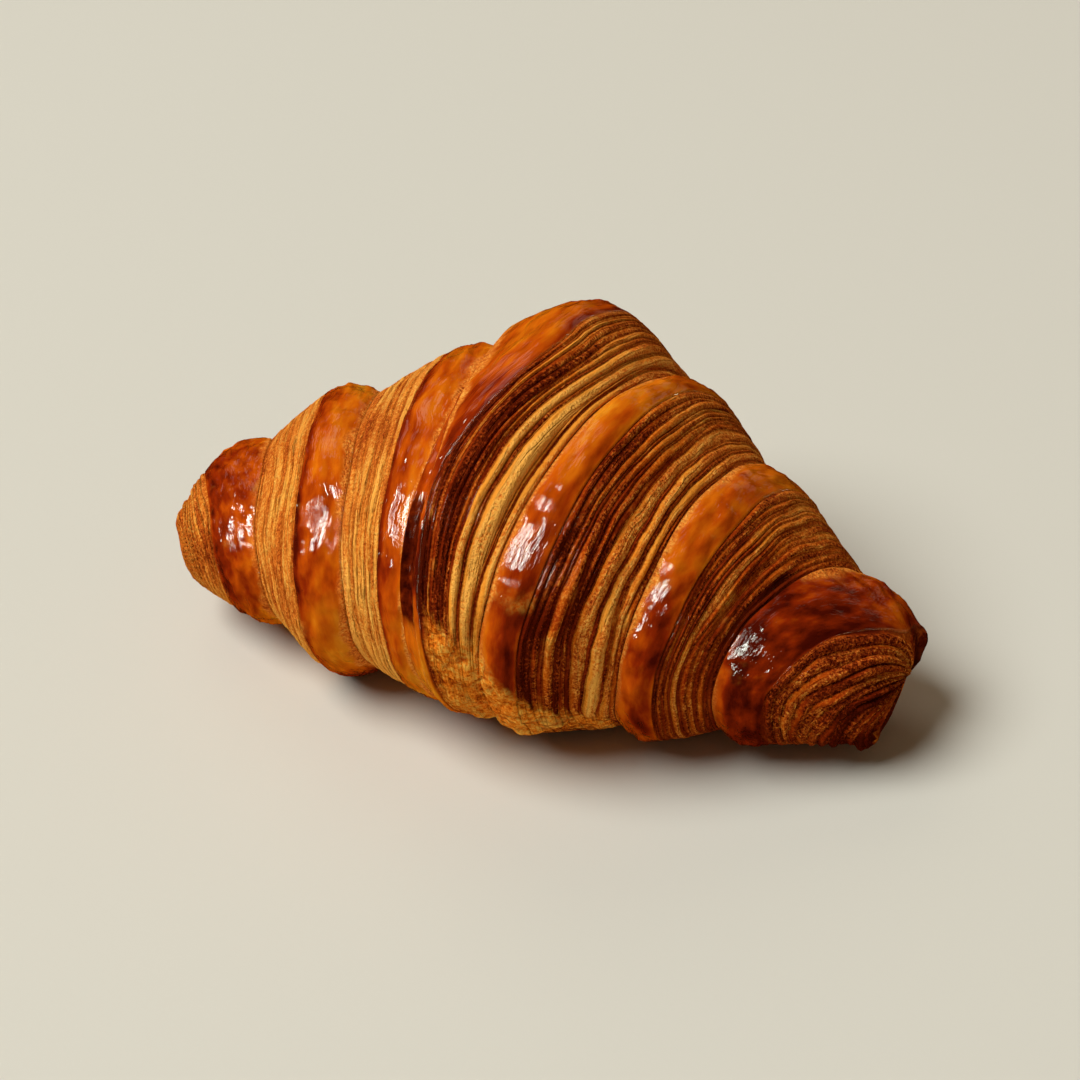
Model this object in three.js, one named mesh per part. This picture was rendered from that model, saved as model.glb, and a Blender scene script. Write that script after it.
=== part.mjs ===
// A butter croissant: one triangle of laminated dough rolled up from its wide side and baked.
// Millimetres. X runs along the roll, -Y is the front with the tucked point, +Z is up.
// The origin is the middle of the flat base, under the middle of the roll.
import * as THREE from 'three';

// The roll is a plump spindle, highest in the middle, with a blunt tip at each end.
const middle = { height: 72.4, width: 94.7 };
const tips = {
  left: {
    reach: 75.5, height: 19.2, width: 29.3, heightPower: 1.44, widthPower: 1.27,
    lift: 10.4, bend: -1.6, rounding: 0.1, slant: 0.2,
  },
  right: {
    reach: 74.5, height: 17.5, width: 28, heightPower: 1.37, widthPower: 1.18,
    lift: 6.5, bend: 1.7, rounding: 0.07, slant: 0.8,
  },
};
const seat = 0.55;            // the widest place, as a share of the height
const sag = 3;                // how far the round section would reach under the table
const tipShrink = 0.3;        // size of the end face against the section before it
const centring = { x: -0.4, y: -0.85 };

// Each wrap ends in a rim. Under the rim the cut layers show as ridges, down to a foot,
// and from the foot the glazed skin of the next wrap inwards runs to its own rim.
// A band is named by its right-hand edge: where that edge lies at shoulder height on the front,
// how far it leans to the tip over the top, and how deep it lies under the spindle. The last
// glazed skin is twisted further around the tip, by the extra travel of its rim in one turn.
const bands = [
  { side: -1, kind: 'layers', ridges: 3, edge: { x: -65.9, lean: 9.4, dip: 0.2 } },
  { side: -1, kind: 'glaze', rows: 4, edge: { x: -53.7, lean: 4.1, dip: 2.8 } },
  { side: -1, kind: 'layers', ridges: 3, edge: { x: -41, lean: 6, dip: -1.8 } },
  { side: -1, kind: 'glaze', rows: 4, edge: { x: -31.2, lean: 4.5, dip: 3.2 } },
  { side: -1, kind: 'layers', ridges: 3, edge: { x: -20.4, lean: 2.6, dip: 1.2 } },
  { side: -1, kind: 'glaze', rows: 4, edge: { x: -13.4, lean: -1.3, dip: 4.6 } },
  { side: -1, kind: 'step', rows: 4, edge: { x: -10.3, lean: -0.8, dip: -0.1 } },
  { side: 1, kind: 'tongue', rows: 4, edge: { dip: -2.6 } },
  { side: 1, kind: 'layers', ridges: 5, edge: { x: 9.1, lean: 3.3, dip: 1.6 } },
  { side: 1, kind: 'glaze', rows: 4, edge: { x: 16.7, lean: 2.9, dip: -1.2 } },
  { side: 1, kind: 'layers', ridges: 5, edge: { x: 31.8, lean: 0.6, dip: 2.5 } },
  { side: 1, kind: 'glaze', rows: 4, edge: { x: 39.3, lean: 1.6, dip: 0.1 } },
  { side: 1, kind: 'layers', ridges: 4, edge: { x: 49.4, lean: 4.3, dip: 3.2 } },
  { side: 1, kind: 'glaze', rows: 4, edge: { x: 61.7, lean: 9, dip: 0.2, extra: 10 } },
  { side: 1, kind: 'layers', ridges: 5, edge: null },
];
const stepBand = bands.findIndex((band) => band.kind === 'step');
const pitch = 21.9;           // travel of an edge along the roll in one whole turn
const shoulder = 49;          // degrees up from the front where the edges are placed
const foldBack = 225;         // past here, under the roll, each edge runs back to its start
const seam = { start: -60, end: 300 };
const flankPower = 1.25;
const skinPower = 1.7;
const skinSwell = 0.7;        // how far the glazed skin arches between its edges
const tongueArch = 2;
const endMargin = { width: 1.6, softness: 1.3, from: 30 };

// The outermost wrap is a tongue that narrows to nothing where its point is tucked in front.
const tongue = { width: 15, least: 1, starts: 40, full: 103 };
// Its left side stands off the skin beside it, so that a dark crack opens between the two.
const cliff = { low: 1.4, starts: 25, full: 85, crack: 2.2, opens: [-6, 22], closes: [42, 78] };

// Ridges of the cut layers get broader from the rim to the foot.
const ridge = { growth: 1.22, height: 0.36, most: 1.1, crests: [0.3, 0.7], fullness: [1, 0.85] };
// They waver on their way around, and run out under the roll.
const waver = { base: 0.8, swing: 0.2, waves: 3, perBand: 2.1, perWidth: 9 };
const ridgeEnds = { front: [-52, -25], back: [200, 240] };
// The dough around the tucked point is torn and lumpy, under a line that falls to the right.
const torn = { to: 24, line: -1.5, slope: 1.37, soft: 10, side: 3, fade: 14, height: 1.3 };
const lumps = { perLength: 1.9, lean: 4, around: 15, back: 0.8 };
// Stiff flakes that stand off the tips and jut out along the roll.
const flakes = [
  { x: 73.6, degrees: 142, height: 0.2, jut: 2.2, spread: 1.3, halfDegrees: 8 },
  { x: 70.8, degrees: -46, height: 1.8, jut: 1.2, spread: 2.2, halfDegrees: 9 },
  { x: 66, degrees: -34, height: 1.2, jut: 0, spread: 2.6, halfDegrees: 12 },
  { x: -74, degrees: 20, height: 1.2, jut: -0.6, spread: 1.5, halfDegrees: 14 },
];
const columns = 50;
const crust = { color: 0xb5652a, roughness: 0.45, metalness: 0 };

const radians = THREE.MathUtils.degToRad;
const smooth = THREE.MathUtils.smoothstep;
const mix = THREE.MathUtils.lerp;
const bell = (distance) => Math.exp(-distance * distance);

// Share of a whole turn from the shoulder, falling back to the start under the roll.
function turn(degrees) {
  const back = (degrees - foldBack) * (foldBack - seam.start) / (seam.end - foldBack);
  const wound = degrees < foldBack ? degrees : foldBack - back;
  return (wound - shoulder) / 360;
}

function leanedX(side, edge, degrees) {
  const overTop = Math.cos(radians(shoulder)) - Math.cos(radians(degrees));
  const travel = (pitch + (edge.extra ?? 0)) * turn(degrees);
  const x = edge.x + side * (travel + edge.lean * overTop);
  if (Math.abs(edge.x) < endMargin.from) {
    return x;
  }
  const limit = (side < 0 ? tips.left : tips.right).reach - endMargin.width;
  const room = (limit - side * x) / endMargin.softness;
  return side * (limit - endMargin.softness * Math.log1p(Math.exp(room)));
}

function tongueX(degrees) {
  const start = leanedX(-1, bands[stepBand].edge, degrees);
  const back = degrees > foldBack ? (seam.end - degrees) / (seam.end - foldBack) : 1;
  const opened = smooth(degrees, tongue.starts, tongue.full) * back;
  const spread = 2 * pitch * Math.max(turn(degrees) - (tongue.full - shoulder) / 360, 0) * back;
  return start + tongue.least + tongue.width * opened + spread;
}

function edgeX(index, degrees) {
  if (index < 0) {
    return -tips.left.reach;
  }
  if (index === bands.length - 1) {
    return tips.right.reach;
  }
  const band = bands[index];
  return band.kind === 'tongue' ? tongueX(degrees) : leanedX(Math.sign(band.edge.x), band.edge, degrees);
}

function edgeDip(index, degrees) {
  if (index < 0 || index === bands.length - 1) {
    return 0;
  }
  const { dip } = bands[index].edge;
  if (bands[index].kind === 'tongue') {
    return mix(bands[index - 1].edge.dip, dip, smooth(degrees, 0, tongue.full));
  }
  if (index === stepBand - 1) {
    return mix(cliff.low, dip, smooth(degrees, cliff.starts, cliff.full));
  }
  return dip;
}

// Rows of a band as shares of its width from the left edge, each with its ridge height as a
// share of the ridge's width. The right edge belongs to the next band.
function bandRows(band) {
  if (band.kind !== 'layers') {
    return Array.from({ length: band.rows }, (_, row) => ({ share: row / band.rows, width: 0, full: 0 }));
  }
  const widths = Array.from({ length: band.ridges }, (_, k) => ridge.growth ** k);
  const total = widths.reduce((sum, width) => sum + width, 0);
  const rows = [{ share: 0, width: 0, full: 0 }];
  let foot = 0;
  for (const width of widths) {
    ridge.crests.forEach((place, k) => {
      rows.push({ share: (foot + place * width) / total, width: width / total, full: ridge.fullness[k] });
    });
    foot += width;
    rows.push({ share: foot / total, width: 0, full: 0 });
  }
  if (band.side > 0) {
    return rows.slice(0, -1);
  }
  return rows.map((row) => ({ ...row, share: 1 - row.share })).reverse().slice(0, -1);
}

function bandDip(index, share, degrees) {
  const band = bands[index];
  const left = edgeDip(index - 1, degrees);
  const right = edgeDip(index, degrees);
  if (band.kind === 'step') {
    const open = smooth(degrees, ...cliff.opens) * (1 - smooth(degrees, ...cliff.closes));
    return mix(left, right, share) + cliff.crack * open * Math.sin(Math.PI * share);
  }
  if (band.kind === 'tongue') {
    return mix(right, left, (1 - share) ** tongueArch);
  }
  const rimOnLeft = (band.kind === 'layers') === (band.side > 0);
  const power = band.kind === 'layers' ? flankPower : skinPower;
  const swell = band.kind === 'layers' ? 0 : skinSwell * Math.sin(Math.PI * share);
  const fromRim = rimOnLeft ? share : 1 - share;
  return mix(rimOnLeft ? left : right, rimOnLeft ? right : left, fromRim ** power) - swell;
}

function ridgeHeight(index, row, widthOfBand, degrees) {
  if (row.full === 0) {
    return 0;
  }
  const phase = waver.perBand * index + waver.perWidth * row.share;
  const wavering = waver.base + waver.swing * Math.sin(radians(waver.waves * degrees) + phase);
  const shown = smooth(degrees, ...ridgeEnds.front) * (1 - smooth(degrees, ...ridgeEnds.back));
  const height = Math.min(ridge.height * row.width * widthOfBand, ridge.most);
  return height * row.full * wavering * shown;
}

function tornShare(x, degrees) {
  const below = smooth(torn.line - torn.slope * x - degrees, -torn.soft, torn.soft);
  const pastStep = smooth(x - leanedX(-1, bands[stepBand].edge, degrees), 0, torn.side);
  const along = pastStep * (1 - smooth(x, torn.to, torn.to + torn.side));
  return below * along * smooth(degrees, seam.start, seam.start + torn.fade);
}

function flakeSum(name, x, degrees) {
  return flakes.reduce((sum, flake) => {
    const along = (x - flake.x) / flake.spread;
    const around = (degrees - flake.degrees) / flake.halfDegrees;
    return sum + flake[name] * bell(Math.hypot(along, around));
  }, 0);
}

function reliefHeight(x, degrees) {
  const wave = Math.sin(lumps.perLength * x + radians(lumps.lean * degrees));
  const crossing = Math.cos(radians(lumps.around * degrees) - lumps.back * x);
  return torn.height * wave * crossing * tornShare(x, degrees) + flakeSum('height', x, degrees);
}

// A point of the crust at a place along the roll, turned up from the front by degrees.
function crustPoint(x, degrees, dip) {
  const tip = x < 0 ? tips.left : tips.right;
  const away = Math.min(Math.abs(x) / tip.reach, 1);
  const height = mix(middle.height, tip.height, away ** tip.heightPower);
  const width = mix(middle.width, tip.width, away ** tip.widthPower);
  const closing = THREE.MathUtils.clamp((away - 1 + tip.rounding) / tip.rounding, 0, 1);
  const round = tipShrink + (1 - tipShrink) * Math.sqrt(1 - closing * closing);
  const up = Math.sin(radians(degrees));
  const deep = (width / 2 - dip) * round;
  const tall = (up > 0 ? height * (1 - seat) - dip : height * seat + sag - dip) * round;
  return new THREE.Vector3(
    x + tip.slant * away ** 4 * up + flakeSum('jut', x, degrees) + centring.x,
    tip.bend * away * away - deep * Math.cos(radians(degrees)) + centring.y,
    Math.max(tip.lift * away ** 3 + height * seat + tall * up, 0),
  );
}

function crustRings() {
  const rings = [];
  bands.forEach((band, index) => {
    for (const row of bandRows(band)) {
      const ring = [];
      for (let column = 0; column < columns; column += 1) {
        const degrees = mix(seam.start, seam.end, column / columns);
        const left = edgeX(index - 1, degrees);
        const right = edgeX(index, degrees);
        const x = mix(left, right, row.share);
        const raised = ridgeHeight(index, row, right - left, degrees) + reliefHeight(x, degrees);
        ring.push(crustPoint(x, degrees, bandDip(index, row.share, degrees) - raised));
      }
      rings.push(ring);
    }
  });
  const last = Array.from({ length: columns }, (_, column) => {
    return crustPoint(tips.right.reach, mix(seam.start, seam.end, column / columns), 0);
  });
  rings.push(last);
  return rings;
}

function middleOf(ring) {
  const sum = ring.reduce((total, point) => total.add(point), new THREE.Vector3());
  return sum.divideScalar(ring.length);
}

// The rings are joined by triangles, and each end ring is closed to its middle.
function croissantGeometry() {
  const rings = crustRings();
  const points = [...rings.flat(), middleOf(rings[0]), middleOf(rings.at(-1))];
  const faces = [];
  const leftPole = points.length - 2;
  const rightPole = points.length - 1;
  const lastRing = (rings.length - 1) * columns;
  for (let column = 0; column < columns; column += 1) {
    const next = (column + 1) % columns;
    for (let ring = 0; ring < rings.length - 1; ring += 1) {
      const near = ring * columns;
      const far = near + columns;
      faces.push(near + column, far + column, far + next);
      faces.push(near + column, far + next, near + next);
    }
    faces.push(leftPole, column, next);
    faces.push(rightPole, lastRing + next, lastRing + column);
  }
  const geometry = new THREE.BufferGeometry().setFromPoints(points);
  geometry.setIndex(faces);
  geometry.computeVertexNormals();
  return geometry;
}

const croissant = new THREE.Mesh(croissantGeometry(), new THREE.MeshStandardMaterial(crust));
croissant.name = 'croissant';

const pastry = new THREE.Group();
pastry.add(croissant);

export default pastry;
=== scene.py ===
import math
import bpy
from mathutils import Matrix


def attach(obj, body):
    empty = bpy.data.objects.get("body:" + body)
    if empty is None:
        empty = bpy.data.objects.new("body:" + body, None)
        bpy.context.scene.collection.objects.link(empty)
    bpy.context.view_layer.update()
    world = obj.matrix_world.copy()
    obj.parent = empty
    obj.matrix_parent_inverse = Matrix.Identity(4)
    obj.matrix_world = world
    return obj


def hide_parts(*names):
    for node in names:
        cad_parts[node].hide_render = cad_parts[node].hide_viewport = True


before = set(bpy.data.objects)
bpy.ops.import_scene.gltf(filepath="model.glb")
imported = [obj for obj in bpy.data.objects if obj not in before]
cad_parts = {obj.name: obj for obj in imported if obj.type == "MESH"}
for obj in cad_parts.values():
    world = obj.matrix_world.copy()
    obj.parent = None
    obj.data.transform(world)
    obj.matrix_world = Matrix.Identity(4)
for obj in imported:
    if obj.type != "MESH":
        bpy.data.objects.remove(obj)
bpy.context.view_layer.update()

from types import SimpleNamespace

import bpy
import numpy as np
from mathutils import Vector

# a butter croissant rolled from one triangle of laminated dough, glazed and baked
# the roll lies along X, the tucked point is in front on -Y, lengths below are millimetres
# degrees run round the roll: 0 in front, 90 on top, 180 at the back
mm = 0.001

roll = {
    "height": 72.4,
    "width": 94.7,
    "seat": 0.55,  # widest place as a share of the height
    "sag": 3.0,  # how far the round section would reach under the table
    "tipShrink": 0.3,
    "centring": (-0.4, -0.85),
    "pitch": 21.9,  # travel of a rim along the roll in one turn
    "shoulder": 49.0,  # degrees up from the front where the rims are placed
    "foldBack": 225.0,  # past here each rim runs back to its start under the roll
    "arch": 0.7,  # how far the glazed skin swells between its edges
    "layerCurve": 1.25,  # how late a band of layers drops to its foot
    "skinCurve": 1.7,  # the same for glazed skin
    "seamStart": -60.0,
    "seamEnd": 300.0,
    # columns of points lie closer on the side that is seen
    "columnSpans": ((-60, -8, 44), (-8, 62, 60), (62, 140, 40), (140, 225, 20), (225, 300, 10)),
}
leftTip = {
    "reach": 75.5, "height": 19.2, "width": 29.3, "heightPower": 1.44, "widthPower": 1.27,
    "lift": 10.4, "bend": -1.6, "rounding": 0.1, "slant": 0.2,
}
rightTip = {
    "reach": 74.5, "height": 17.5, "width": 28.0, "heightPower": 1.37, "widthPower": 1.18,
    "lift": 6.5, "bend": 1.7, "rounding": 0.07, "slant": 0.8,
}
# the step where the outermost wrap ends, cracked over some spans of degrees, and darkened over
# others by scorching with painted shade where the rim overhangs it
cliff = {
    "low": 1.4, "starts": 25.0, "full": 85.0,
    "crack": 2.2, "spans": ((-6, 22), (42, 78)), "scorchAndShadeSpans": ((-10, 8), (30, 52)),
}
# the outermost wrap narrows over the shoulder to its tucked point
tongue = {"width": 15.0, "least": 1.0, "starts": 40.0, "full": 103.0, "dip": -2.6, "arch": 2.0}
# rims that start this far out come no nearer to the end of the roll than the width
endMargin = {"width": 1.6, "softness": 1.3, "from": 30.0}
# how far the rims stray from their even line, with the share of every wave round the roll
straying = {"depth": 0.32, "waves": ((3, 0.6), (7, 0.35), (13, 0.1))}


# edge: place at the shoulder, lean to the tip over the top, depth under the spindle, extra pitch
# cuts: width and browning of every cut layer from the rim to the foot, 0 dark and 1 pale gold
# deep is how far the layers stand apart, spacing is given where they run off the end of the roll
def layers(side, cuts, deep, edge, spacing=None):
    return {"kind": "layers", "side": side, "cuts": cuts, "deep": deep, "edge": edge,
            "spacing": spacing}


# rows of points, browning at the shoulder and low near the table, lip is added to it at the rim
def skin(side, rows, tone, low, lip, edge, kind="glaze"):
    return {"kind": kind, "side": side, "rows": rows, "tone": tone, "low": low, "lip": lip,
            "edge": edge}


# from the left tip to the right one
bands = [
    layers(-1, ((1, 0.66), (1, 0.7), (1, 0.62), (1, 0.72), (1, 0.68), (1, 0.6)), 0.45,
           (-65.9, 9.4, 0.2, 0), 1.15),
    skin(-1, 26, 0.3, 0.32, -0.05, (-53.7, 4.1, 2.8, 0)),
    layers(-1, ((6, 0.62), (9, 0.78), (14, 0.82), (5, 0.66), (11, 0.78), (8, 0.72), (5, 0.6),
                (12, 0.8), (8, 0.7), (14, 0.76), (8, 0.62)), 0.34, (-41.0, 6.0, -1.8, 0)),
    skin(-1, 24, 0.5, 0.37, -0.4, (-31.2, 4.5, 3.2, 0)),
    layers(-1, ((14, 0.84), (6, 0.74), (12, 0.82), (5, 0.66), (9, 0.78), (7, 0.7), (12, 0.82),
                (5, 0.64), (10, 0.74), (16, 0.72)), 0.36, (-20.4, 2.6, 1.2, 0)),
    skin(-1, 20, 0.52, 0.42, -0.4, (-13.4, -1.3, 4.6, 0)),
    skin(-1, 10, 0.38, 0.42, 0.0, (-10.3, -0.8, -0.1, 0), "step"),
    skin(1, 28, 0.35, 0.45, -0.25, None, "tongue"),
    layers(1, ((9, 0.08), (5, 0.14), (5, 0.48), (10, 0.0), (9, 0.04), (8, 0.14), (6, 0.54),
               (4, 0.16), (10, 0.94), (5, 0.38), (16, 1.0), (2, 0.7), (3, 0.3), (8, 0.92)), 1.0,
           (9.1, 3.3, 1.6, 0)),
    skin(1, 20, 0.43, 0.35, 0.1, (16.7, 2.9, -1.2, 0)),
    layers(1, ((9, 0.14), (8, 0.06), (7, 0.34), (5, 0.12), (9, 0.42), (5, 0.14), (6, 0.34),
               (6, 0.02), (13, 0.68), (4, 0.2), (10, 0.86), (4, 0.34), (9, 0.8), (5, 0.5)), 1.0,
           (31.8, 0.6, 2.5, 0)),
    skin(1, 20, 0.45, 0.35, 0.1, (39.3, 1.6, 0.1, 0)),
    layers(1, ((10, 0.18), (6, 0.42), (5, 0.18), (8, 0.52), (5, 0.22), (9, 0.76), (6, 0.3),
               (9, 0.34), (8, 0.54), (9, 0.22), (9, 0.5), (8, 0.18), (8, 0.12)), 0.9,
           (49.4, 4.3, 3.2, 0)),
    skin(1, 26, 0.28, 0.33, -0.1, (61.7, 9.0, 0.2, 10.0)),
    layers(1, ((1, 0.26), (1, 0.44), (1, 0.56), (1, 0.36), (1, 0.6), (1, 0.46), (1, 0.36)), 1.0,
           None, 2.3),
]
stepBand = [band["kind"] for band in bands].index("step")

# the torn dough lies under a line that falls to the right, in degrees for every millimetre
torn = {"to": 24.0, "line": -1.5, "slope": 1.37, "soft": 10.0, "side": 3.0, "fade": 14.0}
# flakes that stand off the crust or jut out along the roll, the last one is a small hole
flakes = [
    {"x": 73.6, "degrees": 142.0, "height": 0.2, "jut": 2.2, "spread": 1.3, "halfDegrees": 8.0},
    {"x": 70.8, "degrees": -46.0, "height": 1.8, "jut": 1.2, "spread": 2.2, "halfDegrees": 9.0},
    {"x": 66.0, "degrees": -34.0, "height": 1.2, "jut": 0.0, "spread": 2.6, "halfDegrees": 12.0},
    {"x": -74.0, "degrees": 20.0, "height": 1.2, "jut": -0.6, "spread": 1.5, "halfDegrees": 14.0},
    {"x": 6.8, "degrees": -18.0, "height": -2.8, "jut": 0.0, "spread": 0.9, "halfDegrees": 1.6},
]
# places that took more heat, with how much darker they are, and less than 0 where the crust is
# paler; two of them are painted light and shade, marked below
browningAndPaintedLight = [
    {"x": 14.5, "degrees": 13.0, "spread": 4.0, "halfDegrees": 9.0, "depth": 0.4},
    {"x": 9.5, "degrees": 0.0, "spread": 3.0, "halfDegrees": 7.0, "depth": 0.25},
    {"x": 36.0, "degrees": 12.0, "spread": 2.2, "halfDegrees": 12.0, "depth": 0.25},
    {"x": 33.0, "degrees": -24.0, "spread": 4.0, "halfDegrees": 9.0, "depth": 0.2},
    {"x": 48.0, "degrees": 30.0, "spread": 3.0, "halfDegrees": 26.0, "depth": 0.35},
    {"x": 70.0, "degrees": -44.0, "spread": 6.0, "halfDegrees": 15.0, "depth": 0.8},
    {"x": 74.0, "degrees": 130.0, "spread": 2.2, "halfDegrees": 24.0, "depth": 0.5},
    {"x": 50.5, "degrees": 34.0, "spread": 1.8, "halfDegrees": 8.0, "depth": 0.3},
    {"x": 48.8, "degrees": 8.0, "spread": 1.6, "halfDegrees": 12.0, "depth": 0.3},
    # painted shade: the front of the right end is darker where it turns away from the light
    {"x": 70.0, "degrees": 5.0, "spread": 9.0, "halfDegrees": 34.0, "depth": 0.33},
    {"x": 72.0, "degrees": 100.0, "spread": 4.0, "halfDegrees": 20.0, "depth": -0.3},
    {"x": 63.0, "degrees": 106.0, "spread": 6.0, "halfDegrees": 18.0, "depth": 0.2},
    {"x": 55.0, "degrees": -34.0, "spread": 8.0, "halfDegrees": 18.0, "depth": 0.25},
    {"x": -7.8, "degrees": 22.0, "spread": 1.8, "halfDegrees": 13.0, "depth": 0.45},
    {"x": 19.0, "degrees": 88.0, "spread": 28.0, "halfDegrees": 26.0, "depth": -0.14},
    # painted light: the front of the layers on the left is paler where the light from the front
    # left falls on them
    {"x": -24.0, "degrees": -5.0, "spread": 7.0, "halfDegrees": 25.0, "depth": -0.12},
    {"x": -8.0, "degrees": -30.0, "spread": 10.0, "halfDegrees": 22.0, "depth": -0.42},
    {"x": 4.0, "degrees": 88.0, "spread": 8.0, "halfDegrees": 26.0, "depth": -0.12},
    {"x": -42.0, "degrees": -36.0, "spread": 22.0, "halfDegrees": 16.0, "depth": -0.32},
    {"x": -38.0, "degrees": 112.0, "spread": 24.0, "halfDegrees": 18.0, "depth": -0.15},
    {"x": 52.0, "degrees": 62.0, "spread": 2.5, "halfDegrees": 14.0, "depth": 0.4},
    {"x": -62.0, "degrees": 10.0, "spread": 3.0, "halfDegrees": 16.0, "depth": 0.2},
    {"x": -30.0, "degrees": 75.0, "spread": 4.0, "halfDegrees": 14.0, "depth": 0.2},
    {"x": 6.8, "degrees": -18.0, "spread": 1.2, "halfDegrees": 2.2, "depth": 1.0},
]


def smooth(value, low, high):
    t = np.clip((value - low) / (high - low), 0, 1)
    return t * t * (3 - 2 * t)


def mix(a, b, t):
    return a + (b - a) * t


# 1 from the end of the first span to the start of the second
def between(value, spans):
    rise, fall = spans
    return smooth(value, *rise) * (1 - smooth(value, *fall))


# turns round the roll from the shoulder, running back again under it
def turn(degrees):
    fold, start, end = roll["foldBack"], roll["seamStart"], roll["seamEnd"]
    back = (degrees - fold) * (fold - start) / (end - fold)
    return (np.where(degrees < fold, degrees, fold - back) - roll["shoulder"]) / 360


def strayed(at, degrees):
    around = np.radians(degrees) + at
    waves = sum(weight * np.sin(wave * around) for wave, weight in straying["waves"])
    return straying["depth"] * waves


# place of a rim along the roll, on its way round the spiral
def leanedX(edge, degrees):
    at, lean, _, morePitch = edge
    side = math.copysign(1, at)
    overTop = math.cos(math.radians(roll["shoulder"])) - np.cos(np.radians(degrees))
    travel = (roll["pitch"] + morePitch) * turn(degrees) + lean * overTop
    x = at + side * travel + strayed(at, degrees)
    if abs(at) < endMargin["from"]:
        return x
    limit = (leftTip if side < 0 else rightTip)["reach"] - endMargin["width"]
    soft = endMargin["softness"]
    return side * (limit - soft * np.log1p(np.exp((limit - side * x) / soft)))


# the rim of the outermost wrap, which leaves the step and opens over the top
def tongueX(degrees):
    fold, end = roll["foldBack"], roll["seamEnd"]
    back = np.where(degrees > fold, (end - degrees) / (end - fold), 1)
    opened = smooth(degrees, tongue["starts"], tongue["full"]) * back
    beyond = np.maximum(turn(degrees) - (tongue["full"] - roll["shoulder"]) / 360, 0)
    spread = 2 * roll["pitch"] * beyond * back
    stepX = leanedX(bands[stepBand]["edge"], degrees)
    return stepX + tongue["least"] + tongue["width"] * opened + spread


# right edge of a band along the roll
def edgeX(index, degrees):
    if index < 0:
        return -leftTip["reach"] + 0 * degrees
    if index == len(bands) - 1:
        return rightTip["reach"] + 0 * degrees
    if bands[index]["kind"] == "tongue":
        return tongueX(degrees)
    return leanedX(bands[index]["edge"], degrees)


# depth of that edge under the spindle form
def edgeDip(index, degrees):
    if index < 0 or index == len(bands) - 1:
        return 0 * degrees
    dip = (bands[index]["edge"] or bands[stepBand]["edge"])[2]
    if bands[index]["kind"] == "tongue":
        return mix(dip, tongue["dip"], smooth(degrees, 0, tongue["full"]))
    if index == stepBand - 1:
        return mix(cliff["low"], dip, smooth(degrees, cliff["starts"], cliff["full"]))
    return dip + 0 * degrees


def bandDip(index, share, degrees):
    band = bands[index]
    left, right = edgeDip(index - 1, degrees), edgeDip(index, degrees)
    if band["kind"] == "step":
        crack = cliff["crack"] * between(degrees, cliff["spans"]) * math.sin(math.pi * share)
        return mix(left, right, share) + crack
    if band["kind"] == "tongue":
        return mix(right, left, (1 - share) ** tongue["arch"])
    isLayered = band["kind"] == "layers"
    swell = 0 if isLayered else roll["arch"] * np.sin(np.pi * share)
    curve = roll["layerCurve"] if isLayered else roll["skinCurve"]
    if isLayered == (band["side"] > 0):
        return mix(left, right, share ** curve) - swell
    return mix(right, left, (1 - share) ** curve) - swell


def bell(place, x, degrees):
    along = (x - place["x"]) / place["spread"]
    around = (degrees - place["degrees"]) / place["halfDegrees"]
    return np.exp(-along ** 2 - around ** 2)


def localSum(places, name, x, degrees):
    return sum(place[name] * bell(place, x, degrees) for place in places)


def tornMask(x, degrees):
    below = smooth(torn["line"] - torn["slope"] * x - degrees, -torn["soft"], torn["soft"])
    pastStep = smooth(x - leanedX(bands[stepBand]["edge"], degrees), 0, torn["side"])
    along = pastStep * (1 - smooth(x, torn["to"], torn["to"] + torn["side"]))
    return below * along * smooth(degrees, roll["seamStart"], roll["seamStart"] + torn["fade"])


# a point of the spindle form, pressed in by the dip and flat where it meets the table
def crustPoint(x, degrees, dip):
    def tip(name):
        return np.where(x < 0, leftTip[name], rightTip[name])
    away = np.minimum(np.abs(x) / tip("reach"), 1)
    height = mix(roll["height"], tip("height"), away ** tip("heightPower"))
    width = mix(roll["width"], tip("width"), away ** tip("widthPower"))
    closing = np.clip((away - 1 + tip("rounding")) / tip("rounding"), 0, 1)
    closed = roll["tipShrink"] + (1 - roll["tipShrink"]) * np.sqrt(1 - closing ** 2)
    up = np.sin(np.radians(degrees))
    seat = roll["seat"]
    deep = (width / 2 - dip) * closed
    tall = np.where(up > 0, height * (1 - seat) - dip, height * seat + roll["sag"] - dip) * closed
    jut = localSum(flakes, "jut", x, degrees)
    px = x + tip("slant") * away ** 4 * up + jut + roll["centring"][0]
    py = tip("bend") * away ** 2 - deep * np.cos(np.radians(degrees)) + roll["centring"][1]
    pz = tip("lift") * away ** 3 + height * seat + tall * up
    return np.stack([px, py, np.maximum(pz, 0)], -1)


def columnDegrees():
    return np.concatenate([np.linspace(start, end, count, endpoint=False)
                           for start, end, count in roll["columnSpans"]])


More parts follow.
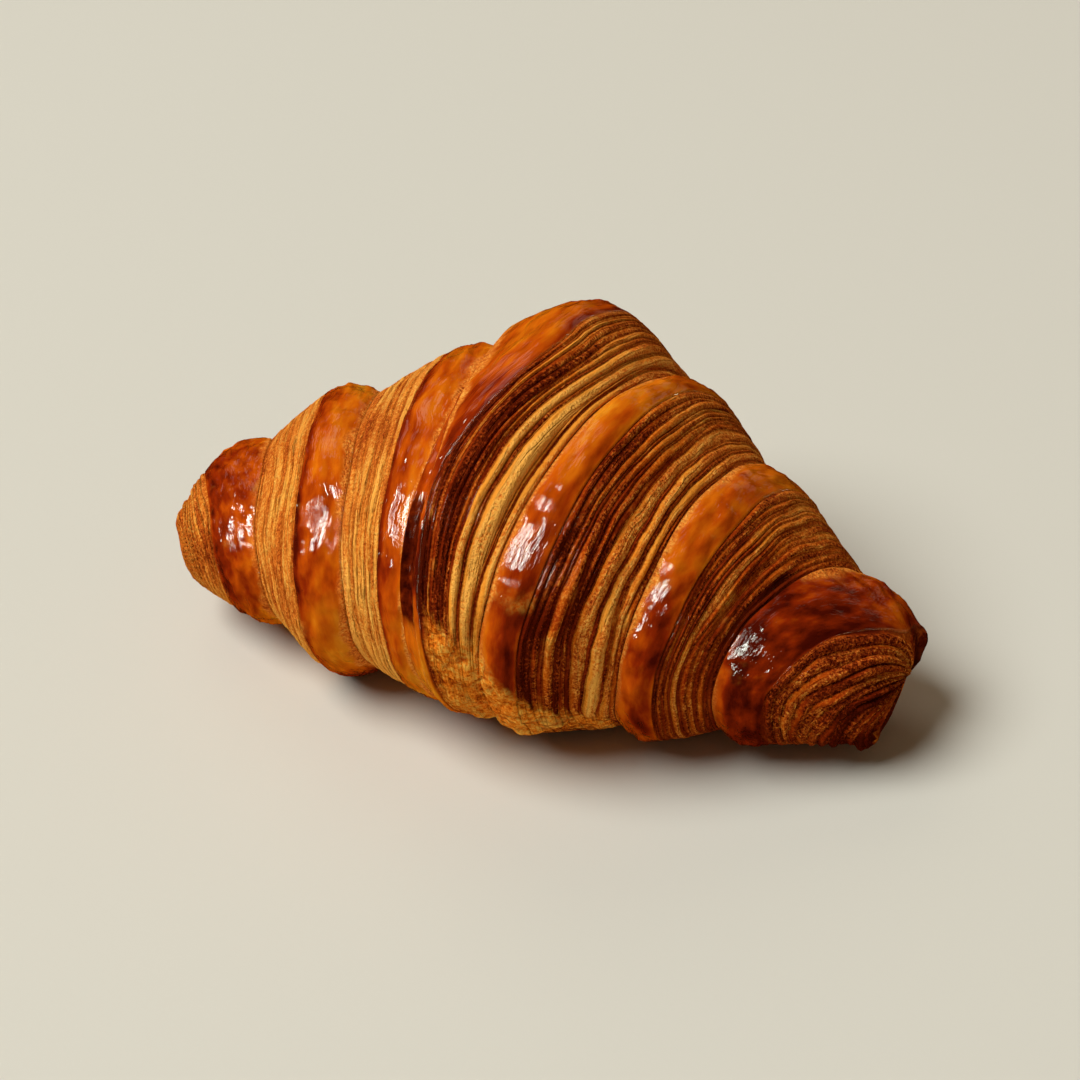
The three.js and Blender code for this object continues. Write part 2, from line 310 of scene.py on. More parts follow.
layering = {
    "seed": 11,
    "swing": 0.28,  # how much a layer widens and narrows on its way around
    "waves": ((1, 0.5), (2, 0.5), (3, 0.5), (4, 0.45), (6, 0.3), (11, 0.13), (23, 0.06)),
    "toneSwing": 0.06,
    "lowSpan": (5, 60),  # degrees from the browning near the table to the one at the shoulder
    "topSpan": (70, 115),
    "topTone": 0.72,  # browning that all the bands come near to over the top
    "layerTop": 0.7,  # how near the layers come to it
    "skinTop": 0.55,
    "topFlat": 0.5,  # how much shallower the layers are there
    "lipWidth": 0.14,  # as a share of the width of the skin
    "footGold": 0.24,  # how much paler the glazed skin is at its foot than at its rim
    "rowStep": 0.28,  # spacing of the rows of points
    "leastRows": 3,
    "rowGap": 0.015,  # the last row of a band stops this share of a layer before its edge
    "laneGap": 20,  # numbers kept for the layers of every band
    "endRows": 46,
    "endFan": 0.35,  # how much wider the layers at the ends of the roll are over the top
    "fanFrom": 20,  # degrees from the front where they start to widen
    "endWeave": ((3, 0.8, 0.3), (9, 2.0, 0.06)),  # waves round the roll, shift for a layer, depth
}


def cutPhases(index):
    chance = np.random.default_rng(layering["seed"] + index)
    return chance.uniform(0, 2 * np.pi, (len(bands[index]["cuts"]), len(layering["waves"])))


# places of the grooves between the layers, 0 at the rim and 1 at the foot
def groovePlaces(index, degrees):
    widths = np.array([width for width, _ in bands[index]["cuts"]])
    swing = np.zeros((len(widths), len(degrees)))
    for (wave, weight), phase in zip(layering["waves"], cutPhases(index).T):
        swing += weight * np.sin(wave * np.radians(degrees)[None] + phase[:, None])
    grown = widths[:, None] * np.exp(layering["swing"] * swing)
    places = np.vstack([np.zeros(len(degrees)), np.cumsum(grown, 0)])
    return places / places[-1]


# rows of a band from left to right: number of the layer and the share of its width
def cutRows(index):
    band = bands[index]
    widths = np.array([width for width, _ in band["cuts"]])
    shoulder = np.array([roll["shoulder"]])
    across = float(edgeX(index, shoulder)[0] - edgeX(index - 1, shoulder)[0])
    rows = []
    for number, width in enumerate(across * widths / widths.sum()):
        count = max(layering["leastRows"], round(width / layering["rowStep"]))
        rows += [(number, 0.5 - 0.5 * math.cos(math.pi * step / count)) for step in range(count)]
    last = len(widths) - 1
    if band["side"] > 0:
        return rows + [(last, 1 - layering["rowGap"])]
    return [(last, 1.0)] + rows[:0:-1] + [(0, layering["rowGap"])]


# where the layers run off the end of the roll the rows are plain and only the grooves lean
def endRows(index, degrees):
    band = bands[index]
    toRight = band["side"] > 0
    left, right = edgeX(index - 1, degrees), edgeX(index, degrees)
    tones = np.array([tone for _, tone in band["cuts"]])
    fan = layering["endFan"] * np.sin(np.radians(degrees - layering["fanFrom"]))
    spacing = band["spacing"] * (1 + fan)
    for share in np.linspace(0, 1, layering["endRows"], endpoint=toRight):
        x = mix(left, right, share)
        away = (x - left if toRight else right - x) / spacing
        weave = sum(depth * np.sin(np.radians(wave * degrees) + shift * away)
                    for wave, shift, depth in layering["endWeave"])
        away = np.maximum(away + weave, 0)
        number = np.floor(away).astype(int)
        place = (share if toRight else 1 - share) + 0 * degrees
        yield x, share, place, number, away - number, spacing, tones[number % len(tones)]


def layerRows(index, degrees):
    band = bands[index]
    left, right = edgeX(index - 1, degrees), edgeX(index, degrees)
    phases = cutPhases(index)
    grooves = groovePlaces(index, degrees)
    pulled = layering["layerTop"] * smooth(degrees, *layering["topSpan"])
    for number, across in cutRows(index):
        place = mix(grooves[number], grooves[number + 1], across)
        share = place if band["side"] > 0 else 1 - place
        width = (grooves[number + 1] - grooves[number]) * (right - left)
        tone = mix(band["cuts"][number][1], layering["topTone"], pulled)
        tone = tone + layering["toneSwing"] * np.sin(np.radians(2 * degrees) + phases[number, 0])
        none = 0 * degrees
        yield mix(left, right, share), share, place, number + none, across + none, width, tone


def skinRows(index, degrees):
    band = bands[index]
    left, right = edgeX(index - 1, degrees), edgeX(index, degrees)
    pulled = layering["skinTop"] * smooth(degrees, *layering["topSpan"])
    plain = mix(band["low"], band["tone"], smooth(degrees, *layering["lowSpan"]))
    plain = mix(plain, layering["topTone"], pulled)
    for even in np.linspace(0, 1, band["rows"], endpoint=False):
        share = mix(even, 0.5 - 0.5 * math.cos(math.pi * even), 0.5)
        place = 1 - share if band["side"] > 0 else share
        lip = band["lip"] * math.exp(-(place / layering["lipWidth"]) ** 2)
        tone = plain + lip + layering["footGold"] * (place - 0.5)
        none = 0 * degrees
        yield mix(left, right, share), share, place + none, none, none + 0.5, right - left, tone


# every row of a band has: x, share of the width of the band, place from its rim,
# number of the layer, share of the layer, its width, browning
def bandRows(index, degrees):
    band = bands[index]
    if band["kind"] != "layers":
        return skinRows(index, degrees)
    return endRows(index, degrees) if band["spacing"] else layerRows(index, degrees)


# what the relief and the colours need to know at every point
crustFields = ("place", "lane", "across", "cutWidth", "layered", "deep", "cliff", "tone", "torn",
               "degrees")


# one ring of points for every row of every band
def rollRings():
    degrees = columnDegrees()
    none = 0 * degrees
    overTop = smooth(degrees, *layering["topSpan"])
    rings = {name: [] for name in ("point", *crustFields)}
    for index, band in enumerate(bands):
        isLayered = float(band["kind"] == "layers")
        deep = band.get("deep", 0) * (1 - layering["topFlat"] * overTop)
        # the darkened spans of the step are scorching and painted shade under the overhanging rim
        scorchShadeSpan = (band["kind"] == "step") * between(degrees, cliff["scorchAndShadeSpans"])
        for x, share, place, number, across, width, tone in bandRows(index, degrees):
            dip = bandDip(index, share, degrees) - localSum(flakes, "height", x, degrees)
            ring = {
                "point": crustPoint(x, degrees, dip),
                "place": place,
                "lane": layering["laneGap"] * index + number + none,
                "across": across,
                "cutWidth": width,
                "layered": isLayered + none,
                "deep": deep,
                "cliff": scorchShadeSpan,
                "tone": tone - localSum(browningAndPaintedLight, "depth", x, degrees),
                "torn": tornMask(x, degrees),
                "degrees": degrees,
            }
            for name, values in ring.items():
                rings[name].append(values)
    return {name: np.array(values) for name, values in rings.items()}


def rollMesh(rings):
    rowCount, columnCount = rings["place"].shape
    points = rings["point"].reshape(-1, 3) * mm
    poles = np.array([rings["point"][0].mean(0), rings["point"][-1].mean(0)]) * mm
    row = np.arange(rowCount - 1)[:, None] * columnCount
    column = np.arange(columnCount)[None]
    following = (column + 1) % columnCount
    quads = np.stack([row + column, row + columnCount + column, row + columnCount + following,
                      row + following], -1).reshape(-1, 4)
    leftPole, rightPole = len(points), len(points) + 1
    lastRow = (rowCount - 1) * columnCount
    caps = [(leftPole, c, (c + 1) % columnCount) for c in range(columnCount)]
    caps += [(rightPole, lastRow + (c + 1) % columnCount, lastRow + c) for c in range(columnCount)]
    mesh = bpy.data.meshes.new("rolledDough")
    mesh.from_pydata(np.vstack([points, poles]).tolist(), [], quads.tolist() + caps)
    mesh.polygons.foreach_set("use_smooth", [True] * len(mesh.polygons))
    for name in crustFields:
        values = rings[name].ravel()
        values = np.concatenate([values, rings[name][0, :1], rings[name][-1, :1]])
        attribute = mesh.attributes.new(name, "FLOAT", "POINT")
        attribute.data.foreach_set("value", values.astype(np.float32))
    return mesh


# adds a node to a tree, with its inputs set or joined up
def addNode(tree, kind, inputs=(), **settings):
    node = tree.nodes.new(kind)
    for name, value in settings.items():
        setattr(node, name, value)
    for key, value in dict(inputs).items():
        if isinstance(value, bpy.types.NodeSocket):
            tree.links.new(value, node.inputs[key])
        else:
            node.inputs[key].default_value = value
    return node


# adds it to the tree of the sockets that it takes, and gives its result
def nodeAfter(kind, inputs, **settings):
    sockets = [value for value in inputs.values() if isinstance(value, bpy.types.NodeSocket)]
    return addNode(sockets[0].id_data, kind, inputs, **settings).outputs[0]


def compute(operation, *values, clamp=False):
    return nodeAfter("ShaderNodeMath", dict(enumerate(values)), operation=operation,
                     use_clamp=clamp)


def plus(a, b, clamp=False):
    return compute("ADD", a, b, clamp=clamp)


def less(a, b):
    return compute("SUBTRACT", a, b)


def times(a, b, clamp=False):
    return compute("MULTIPLY", a, b, clamp=clamp)


def most(a, b):
    return compute("MAXIMUM", a, b)


def least(a, b):
    return compute("MINIMUM", a, b)


def centred(noise):
    return less(noise, 0.5)


# a value that a noise makes larger here and smaller there
def varied(value, noise, amount):
    return plus(value, times(centred(noise), amount))


# distance of a noise from its middle, 0 along the lines that part its lumps
def creaseOf(noise):
    return compute("ABSOLUTE", centred(noise))


def ease(value, low, high, outLow=0.0, outHigh=1.0):
    return nodeAfter("ShaderNodeMapRange", {"Value": value, "From Min": low, "From Max": high,
                     "To Min": outLow, "To Max": outHigh}, interpolation_type="SMOOTHSTEP")


def fading(value, low, high):
    return less(1.0, ease(value, low, high))


def vectorOf(x, y, z):
    return nodeAfter("ShaderNodeCombineXYZ", {0: x, 1: y, 2: z})


def noiseOf(vector, scale, detail=2.0, roughness=0.5):
    return nodeAfter("ShaderNodeTexNoise", {"Vector": vector, "Scale": scale, "Detail": detail,
                     "Roughness": roughness})


# each of these is an input of the relief
reliefLook = {
    "cutHeight": 0.5,  # height of a cut layer against its width
    "mostHeight": 1.1 * mm,
    "sunk": 0.45 * mm,  # the grooves lie this far under the glazed skin
    "standOut": 2.0 * mm,  # how far single layers stand out or back
    "crumbHeight": 0.22 * mm,
    "wrinkleHeight": 1.5 * mm,
    "bumpHeight": 1.2 * mm,
    "swellHeight": 1.3 * mm,
    "tornHeight": 3.6 * mm,
    "seed": 4.0,
    "crumbScale": 1100.0,
    "knobScale": 420.0,
    "strayScale": 90.0,
    "bumpScale": 300.0,
    "swellScale": 60.0,
    "clodScale": 110.0,
    "creaseScale": 170.0,
}
reliefFields = ("place", "lane", "across", "cutWidth", "layered", "deep", "torn", "degrees")
# degrees over which the relief fades in at the seam and out under the roll
reliefFades = {"seam": (-58.0, -40.0), "under": (205.0, 240.0)}


# 0 at both sides of a layer and 1 in its middle, flatter for a higher power
def domeOf(across, power):
    off = compute("ABSOLUTE", less(times(across, 2.0), 1.0))
    return less(1.0, compute("POWER", off, power))


# how far a layer has swollen on its way round the roll
def fullnessOf(here, source):
    seeded = plus(here.lane, source["seed"])
    wavering = vectorOf(times(seeded, 3.7), times(here.degrees, 0.03), 0.0)
    return ease(noiseOf(wavering, 1.0), 0.3, 0.62, 0.25, 1.15)


# every cut layer is a rounded slab that swells, thins out and stands a little out or back
def layerRelief(here, source, fullness):
    tall = least(times(times(here.cutWidth, mm), source["cutHeight"]), source["mostHeight"])
    seeded = plus(here.lane, source["seed"])
    shifting = vectorOf(times(seeded, 5.3), times(here.degrees, 0.012), 9.0)
    standing = times(domeOf(here.across, 6.0), centred(noiseOf(shifting, 1.0)))
    raised = times(times(domeOf(here.across, 2.4), fullness), tall)
    raised = plus(raised, times(standing, source["standOut"]))
    raised = times(less(raised, source["sunk"]), here.deep)
    crumb = centred(noiseOf(here.position, source["crumbScale"], 2.0, 0.6))
    knobs = centred(noiseOf(here.position, source["knobScale"], 2.0, 0.6))
    raised = plus(raised, times(plus(crumb, knobs), source["crumbHeight"]))
    seen = times(ease(here.degrees, *reliefFades["seam"]), here.notUnder)
    return times(times(raised, here.layered), times(seen, less(1.0, times(here.torn, 0.85))))


# the glazed skin has long wrinkles that follow its rim, and soft bumps
def skinRelief(here, source):
    stray = times(noiseOf(here.position, source["strayScale"], 1.0), 3.0)
    fromRim = plus(times(times(here.place, here.cutWidth), 0.5), stray)
    combed = vectorOf(fromRim, times(here.degrees, 0.06), times(here.lane, 0.7))
    wrinkle = times(centred(noiseOf(combed, 1.0)), source["wrinkleHeight"])
    bump = times(centred(noiseOf(here.position, source["bumpScale"])), source["bumpHeight"])
    inside = times(times(here.place, less(1.0, here.place)), 5.0, clamp=True)
    wrinkled = times(plus(wrinkle, bump), plus(0.25, times(0.75, inside)))
    return times(wrinkled, less(1.0, here.layered))


# the torn dough is lumpy, with creases where its lumps meet
def tornRelief(here, source):
    clods = centred(noiseOf(here.position, source["clodScale"], 1.0))
    crease = creaseOf(noiseOf(here.position, source["creaseScale"]))
    lumps = plus(clods, times(compute("POWER", crease, 0.6), 0.55))
    return times(less(lumps, 0.25), times(here.torn, source["tornHeight"]))


def reliefTree(material):
    tree = bpy.data.node_groups.new("crustRelief", "GeometryNodeTree")
    face = tree.interface
    face.new_socket("Geometry", in_out="INPUT", socket_type="NodeSocketGeometry")
    face.new_socket("Geometry", in_out="OUTPUT", socket_type="NodeSocketGeometry")
    for name in reliefLook:
        face.new_socket(name, in_out="INPUT", socket_type="NodeSocketFloat")
    source = tree.nodes.new("NodeGroupInput").outputs
    here = SimpleNamespace(position=tree.nodes.new("GeometryNodeInputPosition").outputs[0])
    for name in reliefFields:
        field = addNode(tree, "GeometryNodeInputNamedAttribute", {"Name": name}, data_type="FLOAT")
        setattr(here, name, field.outputs[0])
    here.notUnder = fading(here.degrees, *reliefFades["under"])

    fullness = fullnessOf(here, source)
    swell = times(centred(noiseOf(here.position, source["swellScale"])), source["swellHeight"])
    rise = plus(layerRelief(here, source, fullness), skinRelief(here, source))
    rise = times(plus(rise, plus(swell, tornRelief(here, source))), here.notUnder)

    normal = tree.nodes.new("GeometryNodeInputNormal").outputs[0]
    push = nodeAfter("ShaderNodeVectorMath", {0: normal, "Scale": rise}, operation="SCALE")
    kept = nodeAfter("GeometryNodeStoreNamedAttribute", {"Geometry": source["Geometry"],
                     "Name": "full", "Value": fullness}, data_type="FLOAT", domain="POINT")
    moved = nodeAfter("GeometryNodeSetPosition", {"Geometry": kept, "Offset": push})
    whole = nodeAfter("GeometryNodeRealizeInstances", {"Geometry": moved})
    coated = nodeAfter("GeometryNodeSetMaterial", {"Geometry": whole, "Material": material})
    addNode(tree, "NodeGroupOutput", {"Geometry": coated})
    return tree


def withRelief(mesh, material):
    rough = bpy.data.objects.new("rolledDough", mesh)
    bpy.context.scene.collection.objects.link(rough)
    tree = reliefTree(material)
    modifier = rough.modifiers.new("relief", "NODES")
    modifier.node_group = tree
    for item in tree.interface.items_tree:
        if item.in_out == "INPUT" and item.name in reliefLook:
            modifier[item.identifier] = reliefLook[item.name]
    evaluated = rough.evaluated_get(bpy.context.evaluated_depsgraph_get())
    plain = bpy.data.meshes.new_from_object(evaluated)
    bpy.data.objects.remove(rough)
    plain.name = "butterCroissant"
    piece = bpy.data.objects.new("butterCroissant", plain)
    bpy.context.scene.collection.objects.link(piece)
    return piece


# the relief may push points under the table, so they are brought back to it
def settle(mesh):
    points = np.empty(len(mesh.vertices) * 3, np.float32)
    mesh.vertices.foreach_get("co", points)
    points = points.reshape(-1, 3)
    points[:, 2] = np.maximum(points[:, 2], 0)
    mesh.vertices.foreach_set("co", points.ravel())
    mesh.update()


# every ramp runs from the darkest crust to the palest
crustLook = {
    "faceRamp": ((0.0, (0.07, 0.006, 0.001)), (0.25, (0.29, 0.036, 0.005)),
                 (0.5, (0.53, 0.103, 0.011)), (0.75, (0.82, 0.23, 0.026)),
                 (1.0, (1.0, 0.47, 0.08))),
    "lipRamp": ((0.0, (0.12, 0.008, 0.001)), (0.35, (0.32, 0.03, 0.0015)),
                (0.7, (0.6, 0.115, 0.004)), (1.0, (0.8, 0.26, 0.016))),
    "tornRamp": ((0.0, (0.26, 0.025, 0.002)), (0.35, (0.68, 0.13, 0.006)),
                 (0.7, (0.98, 0.28, 0.02)), (1.0, (1.0, 0.48, 0.07))),
    "glazeRamp": ((0.0, (0.08, 0.005, 0.001)), (0.25, (0.26, 0.02, 0.0012)),
                  (0.5, (0.52, 0.075, 0.002)), (0.75, (0.7, 0.165, 0.004)),
                  (1.0, (0.86, 0.32, 0.015))),
    # the scorched step, with painted shade where the rim overhangs it
    "scorchAndShadeRamp": ((0.0, (0.03, 0.002, 0.0006)), (0.5, (0.11, 0.009, 0.001)),
                   (1.0, (0.36, 0.045, 0.003))),
    # painted shade in the creases of the torn dough
    "tornCreaseShade": (0.36, 0.05, 0.004),
    # painted shade in the grooves between cut layers, for deep grooves and for shallow ones
    "deepGrooveShade": (0.17, 0.015, 0.002),
    "shallowGrooveShade": (0.5, 0.11, 0.01),
    "glazeRoughness": 0.4,
    "layerRoughness": 0.8,
    "coatRoughness": 0.07,
    "blotchScale": 110.0,
    "patchScale": 42.0,
    "speckleScale": 650.0,
    "grainScale": 1900.0,
    "crackleScale": 520.0,
    "crumbDepth": 0.7 * mm,
    "edgeDepth": 0.5 * mm,
    "rippleDepth": 0.9 * mm,
    "rippleStrength": 0.85,
}


def rampOf(value, stops):
    node = addNode(value.id_data, "ShaderNodeValToRGB", {"Fac": value})
    elements = node.color_ramp.elements
    while len(elements) < len(stops):
        elements.new(0.5)
    for element, (place, colour) in zip(elements, stops):
        element.position = place
        element.color = (*colour, 1)
    return node.outputs[0]


def blendOf(factor, *colours):
    a, b = [value if isinstance(value, bpy.types.NodeSocket) else (*value, 1) for value in colours]
    return addNode(factor.id_data, "ShaderNodeMix", {0: factor, 6: a, 7: b},
                   data_type="RGBA").outputs[2]


def bumpOf(height, strength, depth, **normal):
    return nodeAfter("ShaderNodeBump", {"Height": height, "Strength": strength, "Distance": depth,
                     **normal})


# a noise drawn out along the layers or the skin, by millimetres across and degrees around
def drawn(here, distance, perMm, perDegree, detail=2.0, roughness=0.6):
    combed = vectorOf(times(distance, perMm), times(here.degrees, perDegree), here.lane)
    return noiseOf(combed, 1.0, detail, roughness)


# what is known at every point of the crust, and the noises that its colours share
def crustInputs(tree):
    here = SimpleNamespace(spot=addNode(tree, "ShaderNodeTexCoord").outputs["Object"])
    for name in (*crustFields, "full"):
        field = addNode(tree, "ShaderNodeAttribute", attribute_name=name)
        setattr(here, name, field.outputs["Fac"])
    here.lane = times(here.lane, 3.1)
    here.acrossLayer = times(here.across, here.cutWidth)
    here.acrossSkin = times(here.place, here.cutWidth)

    # blotches, patches, specks and grain over everything
    here.blotch = noiseOf(here.spot, crustLook["blotchScale"], 4.0, 0.6)
    here.patch = noiseOf(here.spot, crustLook["patchScale"])
    here.speckle = noiseOf(here.spot, crustLook["speckleScale"], 3.0, 0.65)
    here.grain = noiseOf(here.spot, crustLook["grainScale"], 2.0, 0.7)
    here.crease = creaseOf(noiseOf(here.spot, reliefLook["creaseScale"]))
    here.wavy = times(here.patch, 5.0)

    # fine lines wander along a layer, run together and part again
    here.slow = noiseOf(vectorOf(0.0, times(here.degrees, 0.035), here.lane), 1.0)
    here.strand = drawn(here, here.acrossLayer, 0.9, 0.035)
    apart = creaseOf(drawn(here, here.acrossLayer, 0.7, 0.03))
    here.fineLine = times(fading(apart, 0.01, 0.085), ease(here.strand, 0.35, 0.6, 0.25, 1.0))

    # distance in millimetres from the groove over a layer and from the one under it
    ragged = plus(here.across, compute("DIVIDE", times(centred(here.speckle), 0.4), here.cutWidth))
    here.fromRim = times(ragged, here.cutWidth)
    here.fromFoot = times(less(1.0, ragged), here.cutWidth)

    # specks, with long pores among them
    pores = ease(drawn(here, here.acrossLayer, 2.6, 1.1), 0.55, 0.68)
    specks = plus(times(centred(here.grain), 2.3), times(centred(here.speckle), 1.1))
    here.specks = plus(specks, times(pores, ease(here.tone, 0.2, 0.6, 0.1, -0.25)))
    return here


# a cut layer has a grainy face and a smooth amber lip, with painted shade in the grooves on both
# sides
def layerColours(here):
    fewDark = ease(here.tone, 0.0, 0.4, 0.6, 1.0)
    fewPale = ease(here.tone, 0.45, 0.9, 1.0, 0.55)
    speckled = times(here.specks, times(fewDark, fewPale))
    speckled = times(speckled, ease(here.deep, 0.3, 0.7, 0.75, 1.0))
    shade = varied(varied(varied(here.tone, here.strand, 0.9), here.slow, 0.45), here.blotch, 0.5)
    faceColour = rampOf(plus(shade, speckled, clamp=True), crustLook["faceRamp"])

    shade = plus(varied(varied(here.tone, here.slow, 0.5), here.blotch, 0.6), 0.06, clamp=True)
    lipColour = rampOf(varied(shade, here.grain, 0.5), crustLook["lipRamp"])
    width = ease(here.slow, 0.35, 0.7, 0.0, 0.9)
    lip = times(fading(less(here.fromRim, width), -0.15, 0.3), ease(here.deep, 0.3, 0.9, 0.4, 1.0))
    colour = blendOf(times(lip, 0.75), faceColour, lipColour)

    # the painted groove shade, also along the fine lines between sheets, fades out where a layer
    # is thin or the dough is torn
    grooveShade = most(fading(here.fromFoot, 0.03, 0.32), fading(here.fromRim, 0.0, 0.12))
    grooveShade = times(grooveShade, ease(here.full, 0.2, 0.8, 0.25, 1.0))
    grooveShade = most(grooveShade, times(here.fineLine, ease(here.tone, 0.6, 1.0, 0.5, 0.15)))
    grooveShade = times(grooveShade, ease(here.torn, 0.0, 0.8, 0.8, 0.3))
    grooveShadeColour = blendOf(here.deep, crustLook["shallowGrooveShade"], crustLook["deepGrooveShade"])
    return blendOf(grooveShade, colour, grooveShadeColour), lip


# the glaze is gold where it is thin and dark red where it has pooled
def glazeColours(here):
    pooled = drawn(here, here.acrossSkin, 0.25, 0.025, 1.0, 0.5)
    cloud = drawn(here, here.acrossSkin, 0.45, 0.09, 3.0, 0.5)
    shade = varied(varied(varied(here.tone, cloud, 0.9), pooled, 0.5), here.patch, 0.7)
    # painted highlight along the rim of the skin, where its edge catches the light
    shade = plus(shade, times(fading(here.acrossSkin, 0.1, 0.8), 0.15), clamp=True)
    colour = rampOf(shade, crustLook["glazeRamp"])

    # the step under the outermost wrap is scorched in places, with painted shade where the rim
    # overhangs it
    scorchAndShade = ease(varied(here.cliff, here.blotch, 0.6), 0.25, 0.6)
    shade = varied(varied(0.45, here.speckle, 1.6), here.blotch, 2.2)
    colour = blendOf(scorchAndShade, colour, rampOf(shade, crustLook["scorchAndShadeRamp"]))

    # at its foot the skin thins out to bare dough
    bare = ease(varied(varied(here.place, here.blotch, 0.6), here.slow, 0.4), 0.84, 0.96)
    bare = times(bare, ease(here.tone, 0.35, 0.5))
    bare = times(bare, less(1.0, most(here.layered, here.cliff)))
    shade = plus(varied(0.72, here.strand, 0.6), times(here.specks, 0.45), clamp=True)
    return blendOf(bare, colour, rampOf(shade, crustLook["faceRamp"])), scorchAndShade, bare


# torn dough is golden, with brown smudges, and painted shade in the creases where its lumps meet
def tornColours(here):
    shade = varied(varied(varied(0.68, here.blotch, 1.6), here.speckle, 1.9), here.grain, 1.3)
    creaseShade = times(fading(here.crease, 0.0, 0.06), ease(here.patch, 0.4, 0.6, 0.1, 0.7))
    colour = blendOf(creaseShade, rampOf(shade, crustLook["tornRamp"]), crustLook["tornCreaseShade"])
    share = varied(varied(varied(here.torn, here.blotch, 1.1), here.strand, 0.9), here.slow, 1.2)
    return colour, ease(share, 0.22, 0.82)


# the glazed skin shines in streaks, and the dark lips of the layers a little
def coatOf(here, matte, scorchAndShade, lip):
    streaked = vectorOf(plus(times(here.acrossSkin, 0.7), here.wavy), times(here.degrees, 0.07),
                        plus(here.lane, 7.0))
    shine = times(less(1.0, matte), ease(noiseOf(streaked, 1.0), 0.4, 0.54, 0.15, 1.0))
    shine = times(shine, less(1.0, times(scorchAndShade, 0.95)))
    darkShine = times(fading(here.tone, 0.15, 0.45), times(lip, ease(here.blotch, 0.45, 0.6)))
    return most(shine, times(times(darkShine, here.layered), 0.3))


# crumbs on the matte dough, and an edge along every groove
def doughBump(here, matte, lip, tornShare):
    crumbs = plus(times(here.speckle, 1.4), here.grain)
    crumbs = plus(crumbs, plus(here.strand, times(here.fineLine, -0.6)))
    clods = plus(times(here.blotch, 5.0), times(least(here.crease, 0.08), 12.0))
    crumbs = plus(crumbs, times(clods, tornShare))
    untorn = less(1.0, tornShare)
    rough = times(matte, less(1.0, times(times(lip, untorn), 0.6)))
    crumbBump = bumpOf(crumbs, times(rough, 0.9), crustLook["crumbDepth"])
    ridge = least(ease(here.fromFoot, 0.0, 0.5), ease(here.fromRim, 0.0, 0.3))
    return bumpOf(ridge, times(times(here.layered, untorn), 0.5), crustLook["edgeDepth"],
                  Normal=crumbBump)


def glazeBump(here):
    rippled = vectorOf(plus(times(here.acrossSkin, 0.6), here.wavy), times(here.degrees, 0.06),
                       here.lane)
    crackle = noiseOf(here.spot, crustLook["crackleScale"], 1.0)
    ripple = plus(noiseOf(rippled, 1.0, 3.0, 0.62), times(crackle, 0.08))
    return bumpOf(ripple, crustLook["rippleStrength"], crustLook["rippleDepth"])


def crustMaterial():
    material = bpy.data.materials.new("bakedCrust")
    material.use_nodes = True
    tree = material.node_tree
    tree.nodes.clear()
    here = crustInputs(tree)
    layerColour, lip = layerColours(here)
    glazeColour, scorchAndShade, bare = glazeColours(here)
    tornColour, tornShare = tornColours(here)
    matte = most(most(here.layered, bare), tornShare)
    duller = crustLook["layerRoughness"] - crustLook["glazeRoughness"]
    untornColour = blendOf(here.layered, glazeColour, layerColour)
    surface = addNode(tree, "ShaderNodeBsdfPrincipled", {
        "Base Color": blendOf(tornShare, untornColour, tornColour),
        "Roughness": plus(times(matte, duller), crustLook["glazeRoughness"]),
        "Coat Weight": coatOf(here, matte, scorchAndShade, lip),
        "Coat Roughness": crustLook["coatRoughness"],
        "Specular IOR Level": 0.0,
        "Normal": doughBump(here, matte, lip, tornShare),
        "Coat Normal": glazeBump(here),
    })
    addNode(tree, "ShaderNodeOutputMaterial", {"Surface": surface.outputs[0]})
    return material


croissant = withRelief(rollMesh(rollRings()), crustMaterial())
settle(croissant.data)
print("croissant:", len(croissant.data.polygons), "faces")
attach(croissant, "root")
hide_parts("croissant")

table = {"size": 6.0, "colour": (0.66, 0.645, 0.56), "roughness": 0.8, "specular": 0.2}


def makeTable():
    half = table["size"] / 2
    corners = [(-half, -half, 0), (half, -half, 0), (half, half, 0), (-half, half, 0)]
    mesh = bpy.data.meshes.new("table")
    mesh.from_pydata(corners, [], [(0, 1, 2, 3)])
    material = bpy.data.materials.new("paleTable")
    material.use_nodes = True
    surface = material.node_tree.nodes["Principled BSDF"].inputs
    surface["Base Color"].default_value = (*table["colour"], 1)
    surface["Roughness"].default_value = table["roughness"]
    surface["Specular IOR Level"].default_value = table["specular"]
    mesh.materials.append(material)
    top = bpy.data.objects.new("table", mesh)
    top.visible_glossy = False
    bpy.context.scene.collection.objects.link(top)
    return top


makeTable()
print("table laid")


# a glint is seen only as a reflection on the glazed skin
def glint(name, toward, away, size, power, colour=(0.89, 1.0, 0.86)):
    return {"name": name, "lights": False, "shines": True, "from": toward, "away": away,
            "size": size, "power": power, "colour": colour}


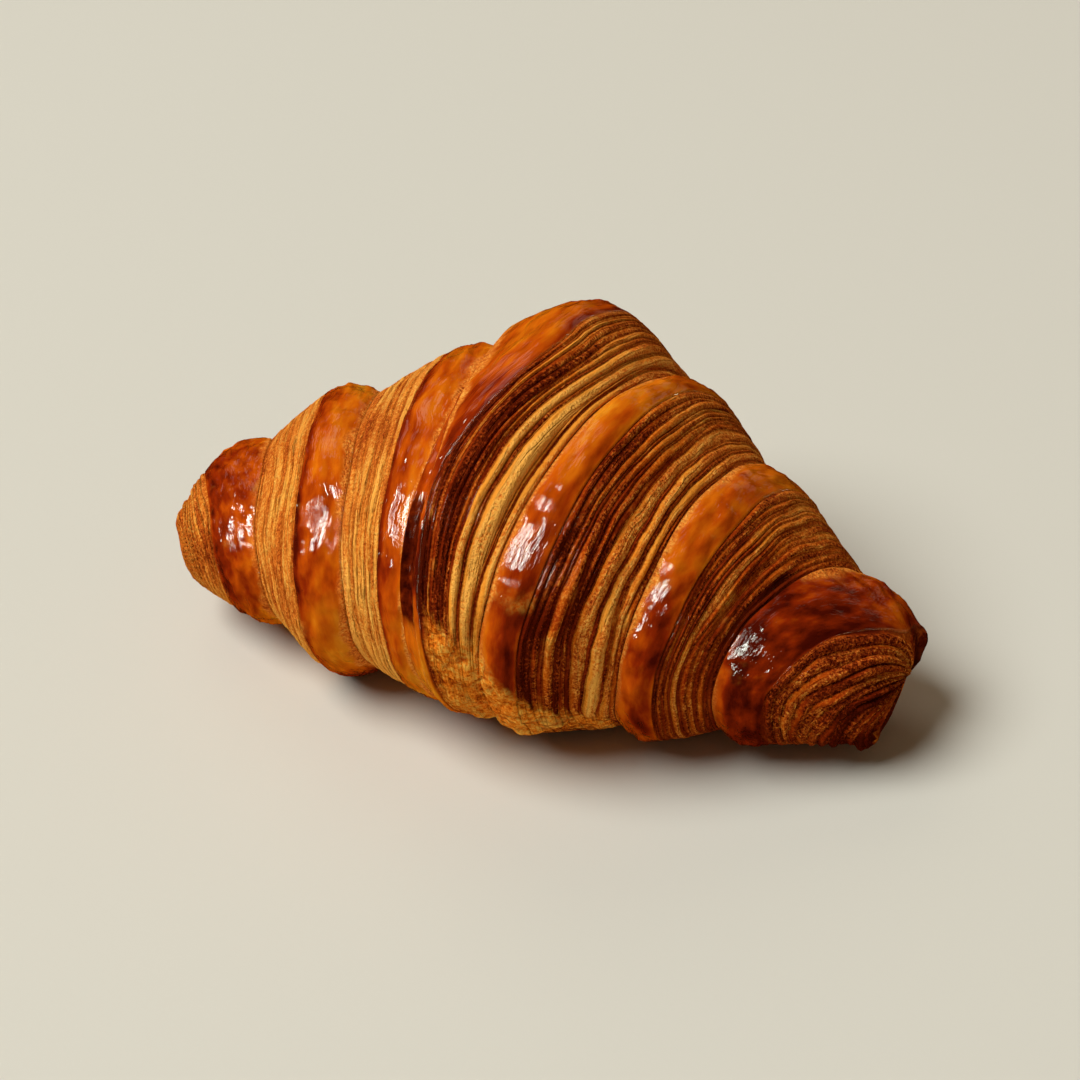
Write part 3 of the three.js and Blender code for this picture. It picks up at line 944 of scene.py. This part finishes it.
lights = [
    {"name": "softbox", "lights": True, "shines": False, "from": (-0.44, -0.37, 0.82), "away": 5.0,
     "size": (3.3, 3.3), "power": 280.0, "colour": (0.985, 0.995, 1.0)},
    {"name": "bounce", "lights": True, "shines": True, "from": (-0.5, 0.5, 0.7), "away": 5.0,
     "size": (3.0, 3.0), "power": 24.0, "colour": (1.0, 0.9, 0.76)},
    glint("glintLeft", (-0.72, -0.4, 0.86), 1.4, (0.26, 1.15), 37.0),
    glint("glintMiddle", (-0.27, -0.56, 0.96), 1.4, (0.2, 1.1), 29.0),
    glint("glintRight", (0.24, -0.58, 1.0), 1.4, (0.1, 0.7), 6.5, (1.0, 1.0, 0.9)),
    glint("backCard", (0.1, 0.85, 0.3), 1.6, (1.8, 0.5), 0.7, (1.0, 0.82, 0.6)),
]


def makeLight(light):
    lamp = bpy.data.lights.new(light["name"], "AREA")
    lamp.shape = "ELLIPSE"
    lamp.size, lamp.size_y = light["size"]
    lamp.energy = light["power"]
    lamp.color = light["colour"]
    holder = bpy.data.objects.new(light["name"], lamp)
    toward = Vector(light["from"]).normalized()
    holder.location = toward * light["away"]
    holder.rotation_euler = toward.to_track_quat("Z", "Y").to_euler()
    holder.visible_diffuse = light["lights"]
    holder.visible_glossy = light["shines"]
    bpy.context.scene.collection.objects.link(holder)


for light in lights:
    makeLight(light)

room = {"colour": (1.0, 0.7, 0.42), "strength": 0.13}


def makeRoom():
    world = bpy.data.worlds.new("room")
    bpy.context.scene.world = world
    world.use_nodes = True
    background = world.node_tree.nodes["Background"].inputs
    background["Color"].default_value = (*room["colour"], 1)
    background["Strength"].default_value = room["strength"]
    world.cycles_visibility.glossy = False
    bpy.context.scene.view_settings.view_transform = "Standard"


makeRoom()
print("lights placed")

camera = {"azimuth": 21.4, "elevation": 35.5, "distance": 0.6,
          "target": (-0.0008, -0.00085, 0.0295), "lens": 101.6, "sensor": 36}


def makeCamera():
    turned, raised = math.radians(camera["azimuth"]), math.radians(camera["elevation"])
    back = Vector((math.sin(turned) * math.cos(raised), -math.cos(turned) * math.cos(raised),
                   math.sin(raised)))
    lens = bpy.data.cameras.new("camera")
    lens.lens = camera["lens"]
    lens.sensor_width = camera["sensor"]
    holder = bpy.data.objects.new("camera", lens)
    holder.location = Vector(camera["target"]) + back * camera["distance"]
    holder.rotation_euler = back.to_track_quat("Z", "Y").to_euler()
    bpy.context.scene.collection.objects.link(holder)
    bpy.context.scene.camera = holder


makeCamera()
print("camera placed")
